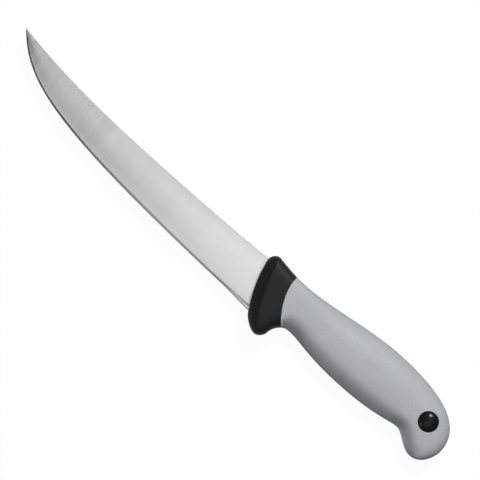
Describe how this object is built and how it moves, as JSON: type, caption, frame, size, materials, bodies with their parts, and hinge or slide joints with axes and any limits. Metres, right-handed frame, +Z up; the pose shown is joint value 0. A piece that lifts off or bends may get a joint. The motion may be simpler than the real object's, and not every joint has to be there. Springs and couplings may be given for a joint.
{
  "type": "butcher knife",
  "caption": "Slim butcher knife with an upswept satin steel blade, a slanted black guard, a light grey moulded grip with a hooked butt, and a black rivet near the butt.",
  "frame": {"origin": "on the flat side of the guard that the knife lies on, below the middle of the guard", "axes": "+X from the tip along the blade to the butt of the handle, +Y from the cutting edge towards the spine, +Z up, out of the side that the picture shows"},
  "size_m": [0.3187, 0.0443, 0.02],
  "materials": {
    "blade_steel": "satin, ground across the blade",
    "core_plastic": "hard, matte",
    "pin_steel": "plain",
    "guard_black": "fine matte grain",
    "grip_grey": "fine matte grain",
    "rivet_black": "polished dome"
  },
  "bodies": {
    "root": {"blade": "blade_steel", "core": "core_plastic", "tang_pin_front": "pin_steel", "tang_pin_rear": "pin_steel", "guard": "guard_black", "grip": "grip_grey", "rivet_stud": "rivet_black", "rivet_socket": "rivet_black"}
  },
  "joints": []
}
